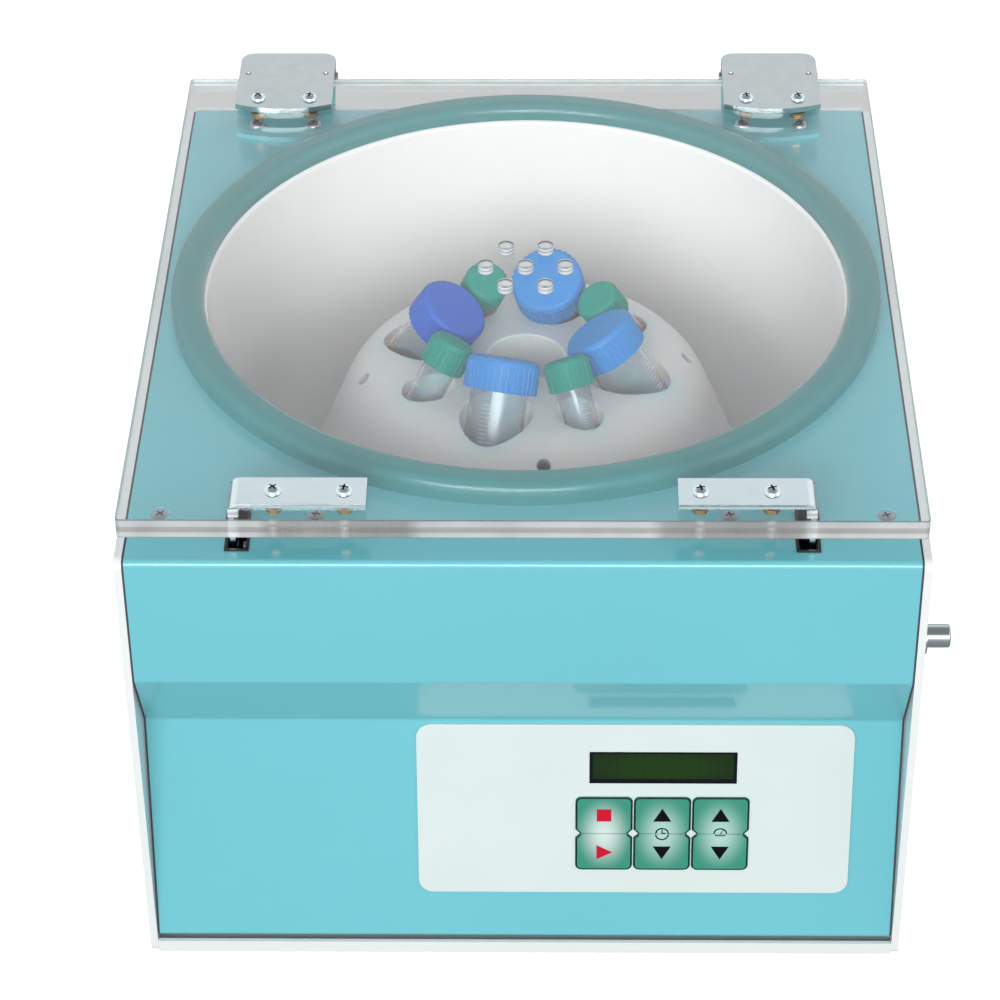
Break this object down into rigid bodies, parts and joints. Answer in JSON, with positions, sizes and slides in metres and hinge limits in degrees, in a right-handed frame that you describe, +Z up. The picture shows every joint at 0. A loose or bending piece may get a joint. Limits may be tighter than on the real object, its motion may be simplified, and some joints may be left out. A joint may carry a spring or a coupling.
{
  "type": "bench centrifuge",
  "caption": "Bench centrifuge with a clear hinged lid, a round chamber, a fixed-angle rotor holding capped tubes, a sloping key panel and a side lock plunger.",
  "frame": {"origin": "middle of the footprint on the plane of the rubber feet", "axes": "+X to the right seen from the front, +Y to the rear, +Z up; the control panel faces -Y"},
  "size_m": [0.372, 0.405, 0.2746],
  "materials": {
    "teal_paint": "satin",
    "white_paint": "satin",
    "ring_teal": "gloss",
    "bowl_white": "satin",
    "clear_acrylic": "clear gloss",
    "chrome": "polished",
    "steel": "brushed",
    "dark_steel": "satin",
    "brass": "plain",
    "black_rubber": "matt",
    "black_plastic": "matt",
    "fascia_white": "satin",
    "key_green": "satin",
    "display_glass": "gloss",
    "board_green": "matt",
    "mat_grey": "matt",
    "rotor_white": "satin",
    "tube_clear": "clear",
    "cap_blue": "satin",
    "cap_green": "satin"
  },
  "bodies": {
    "housing": {"base_tray": "white_paint", "left_side_panel": "white_paint", "right_side_panel": "white_paint", "body_shell": "teal_paint", "rear_panel": "white_paint", "side_gaskets": "black_rubber", "chamber_bowl": "bowl_white", "rim_ring": "ring_teal", "top_screws": "steel", "side_screws": "steel", "rear_screws": "steel", "feet": "black_rubber", "foot_screws": "steel", "mains_inlet": "black_plastic", "switch_frame": "black_plastic", "fuse_holder": "black_plastic", "power_board": "board_green", "control_board": "board_green", "display_module": "board_green", "display_window": "display_glass", "fascia_plate": "fascia_white", "key_mat": "mat_grey", "left_lock_socket": "black_plastic", "right_lock_socket": "black_plastic", "plunger_bushing": "chrome", "bar_guides": "steel", "motor": "dark_steel", "motor_plate": "steel", "motor_mounts": "black_rubber", "motor_posts": "steel", "left_hinge_base": "chrome", "right_hinge_base": "chrome", "hinge_base_screws": "chrome", "hinge_pins": "steel"},
    "lid": {"lid": "clear_acrylic", "left_hinge_plate": "chrome", "right_hinge_plate": "chrome", "hinge_plate_screws": "chrome", "left_lock_bracket": "chrome", "right_lock_bracket": "chrome", "bracket_screws": "chrome", "lid_nuts": "brass"},
    "lock": {"lock_bar": "steel", "lock_plunger": "chrome"},
    "rotor": {"rotor": "rotor_white", "drive_hub": "steel", "motor_shaft": "steel", "rotor_nut": "steel", "rotor_screws": "dark_steel", "large_tubes": "tube_clear", "large_caps": "cap_blue", "small_tubes": "tube_clear", "small_caps": "cap_green"},
    "switch": {"rocker_switch": "black_plastic"},
    "key_stop": {"key_stop": "key_green"},
    "key_start": {"key_start": "key_green"},
    "key_time_up": {"key_time_up": "key_green"},
    "key_time_down": {"key_time_down": "key_green"},
    "key_speed_up": {"key_speed_up": "key_green"},
    "key_speed_down": {"key_speed_down": "key_green"}
  },
  "joints": [
    {"name": "lid_hinge", "type": "hinge", "parent": "housing", "child": "lid", "pos_m": [-0.006, 0.1905, 0.264], "axis": [-1, 0, 0], "range_deg": [0, 100]},
    {"name": "rotor_spin", "type": "hinge", "parent": "housing", "child": "rotor", "pos_m": [-0.006, 0.0045, 0.168], "axis": [0, 0, 1], "continuous": true},
    {"name": "lock_slide", "type": "slide", "parent": "housing", "child": "lock", "axis": [-1, 0, 0], "range_m": [0, 0.006]},
    {"name": "switch_rock", "type": "hinge", "parent": "housing", "child": "switch", "pos_m": [-0.078, 0.1735, 0.06], "axis": [-1, 0, 0], "range_deg": [0, 18]},
    {"name": "key_stop_press", "type": "slide", "parent": "housing", "child": "key_stop", "axis": [0, 0.9869, -0.1611], "range_m": [0, 0.0005], "stiffness_N_per_m": 400},
    {"name": "key_start_press", "type": "slide", "parent": "housing", "child": "key_start", "axis": [0, 0.9869, -0.1611], "range_m": [0, 0.0005], "stiffness_N_per_m": 400},
    {"name": "key_time_up_press", "type": "slide", "parent": "housing", "child": "key_time_up", "axis": [0, 0.9869, -0.1611], "range_m": [0, 0.0005], "stiffness_N_per_m": 400},
    {"name": "key_time_down_press", "type": "slide", "parent": "housing", "child": "key_time_down", "axis": [0, 0.9869, -0.1611], "range_m": [0, 0.0005], "stiffness_N_per_m": 400},
    {"name": "key_speed_up_press", "type": "slide", "parent": "housing", "child": "key_speed_up", "axis": [0, 0.9869, -0.1611], "range_m": [0, 0.0005], "stiffness_N_per_m": 400},
    {"name": "key_speed_down_press", "type": "slide", "parent": "housing", "child": "key_speed_down", "axis": [0, 0.9869, -0.1611], "range_m": [0, 0.0005], "stiffness_N_per_m": 400}
  ]
}
